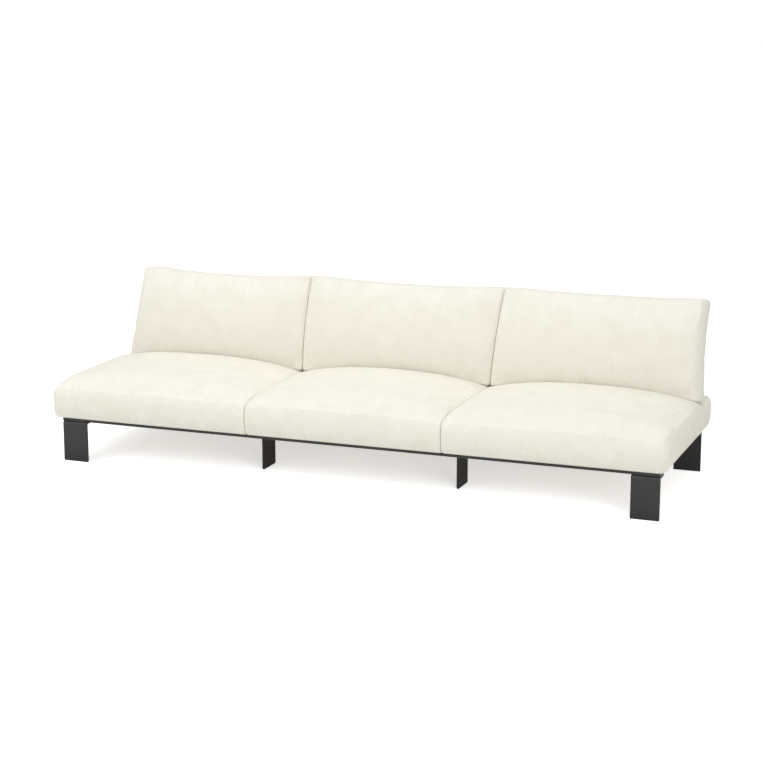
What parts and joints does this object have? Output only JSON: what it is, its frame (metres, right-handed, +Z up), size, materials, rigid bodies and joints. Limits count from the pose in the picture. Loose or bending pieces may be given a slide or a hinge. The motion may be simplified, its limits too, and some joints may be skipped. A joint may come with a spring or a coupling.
{
  "type": "armless sofa",
  "caption": "Long armless sofa with loose boxed seat and back cushions on a low dark frame of flat metal bar with plate legs.",
  "frame": {"origin": "on the floor, under the middle of the frame", "axes": "+X along the sofa to the sitter's left, seen from the front it points right; +Y from the front to the back; +Z up"},
  "size_m": [2.57, 0.8293, 0.7232],
  "materials": {
    "cover_fabric": "matte linen weave",
    "foam": "open-cell foam",
    "zip_tape": "woven tape with nylon teeth",
    "zip_metal": "tumbled metal",
    "coated_metal": "satin dark powder coat",
    "black_plastic": "matte",
    "plywood": "sanded birch plywood",
    "fastener_steel": "black zinc"
  },
  "bodies": {
    "frame": {"back_rail": "coated_metal", "back_rail_bolts": "fastener_steel", "end_leg_glides": "black_plastic", "frame_bolts": "fastener_steel", "frame_washers": "fastener_steel", "front_left_leg": "coated_metal", "front_left_middle_leg": "coated_metal", "front_rail": "coated_metal", "front_right_leg": "coated_metal", "front_right_middle_leg": "coated_metal", "left_cross_bar": "coated_metal", "left_deck": "plywood", "left_end_bar": "coated_metal", "left_front_ledge": "coated_metal", "left_inner_upright": "coated_metal", "left_outer_upright": "coated_metal", "left_rail_cap": "black_plastic", "left_rear_ledge": "coated_metal", "middle_deck": "plywood", "middle_front_ledge": "coated_metal", "middle_leg_glides": "black_plastic", "middle_rear_ledge": "coated_metal", "rear_left_leg": "coated_metal", "rear_left_middle_leg": "coated_metal", "rear_rail": "coated_metal", "rear_right_leg": "coated_metal", "rear_right_middle_leg": "coated_metal", "right_cross_bar": "coated_metal", "right_deck": "plywood", "right_end_bar": "coated_metal", "right_front_ledge": "coated_metal", "right_inner_upright": "coated_metal", "right_outer_upright": "coated_metal", "right_rail_cap": "black_plastic", "right_rear_ledge": "coated_metal"},
    "left_back": {"left_back_core": "foam", "left_back_cover": "cover_fabric", "left_back_zip": "zip_tape"},
    "left_back_zip_slider": {"left_back_zip_slider": "zip_metal"},
    "left_seat": {"left_seat_core": "foam", "left_seat_cover": "cover_fabric", "left_seat_zip": "zip_tape"},
    "left_seat_zip_slider": {"left_seat_zip_slider": "zip_metal"},
    "middle_back": {"middle_back_core": "foam", "middle_back_cover": "cover_fabric", "middle_back_zip": "zip_tape"},
    "middle_back_zip_slider": {"middle_back_zip_slider": "zip_metal"},
    "middle_seat": {"middle_seat_core": "foam", "middle_seat_cover": "cover_fabric", "middle_seat_zip": "zip_tape"},
    "middle_seat_zip_slider": {"middle_seat_zip_slider": "zip_metal"},
    "right_back": {"right_back_core": "foam", "right_back_cover": "cover_fabric", "right_back_zip": "zip_tape"},
    "right_back_zip_slider": {"right_back_zip_slider": "zip_metal"},
    "right_seat": {"right_seat_core": "foam", "right_seat_cover": "cover_fabric", "right_seat_zip": "zip_tape"},
    "right_seat_zip_slider": {"right_seat_zip_slider": "zip_metal"}
  },
  "joints": [
    {"name": "left_seat_pull", "type": "slide", "parent": "frame", "child": "left_seat", "axis": [0, -1, 0], "range_m": [0, 0.1]},
    {"name": "left_back_lift", "type": "slide", "parent": "left_seat", "child": "left_back", "axis": [0.0499, 0, 0.9988], "range_m": [0, 0.45]},
    {"name": "middle_seat_pull", "type": "slide", "parent": "frame", "child": "middle_seat", "axis": [0, -1, 0], "range_m": [0, 0.1]},
    {"name": "middle_back_lift", "type": "slide", "parent": "middle_seat", "child": "middle_back", "axis": [0.0748, 0, 0.9972], "range_m": [0, 0.45]},
    {"name": "right_seat_pull", "type": "slide", "parent": "frame", "child": "right_seat", "axis": [0, -1, 0], "range_m": [0, 0.1]},
    {"name": "right_back_lift", "type": "slide", "parent": "right_seat", "child": "right_back", "axis": [0.0995, 0, 0.995], "range_m": [0, 0.45]},
    {"name": "left_seat_zip_pull", "type": "slide", "parent": "left_seat", "child": "left_seat_zip_slider", "axis": [1, 0, 0], "range_m": [0, 0.64]},
    {"name": "middle_seat_zip_pull", "type": "slide", "parent": "middle_seat", "child": "middle_seat_zip_slider", "axis": [1, 0, 0], "range_m": [0, 0.6]},
    {"name": "right_seat_zip_pull", "type": "slide", "parent": "right_seat", "child": "right_seat_zip_slider", "axis": [1, 0, 0], "range_m": [0, 0.64]},
    {"name": "left_back_zip_pull", "type": "slide", "parent": "left_back", "child": "left_back_zip_slider", "axis": [1, 0, 0], "range_m": [0, 0.6]},
    {"name": "middle_back_zip_pull", "type": "slide", "parent": "middle_back", "child": "middle_back_zip_slider", "axis": [1, 0, 0], "range_m": [0, 0.6]},
    {"name": "right_back_zip_pull", "type": "slide", "parent": "right_back", "child": "right_back_zip_slider", "axis": [1, 0, 0], "range_m": [0, 0.62]}
  ]
}
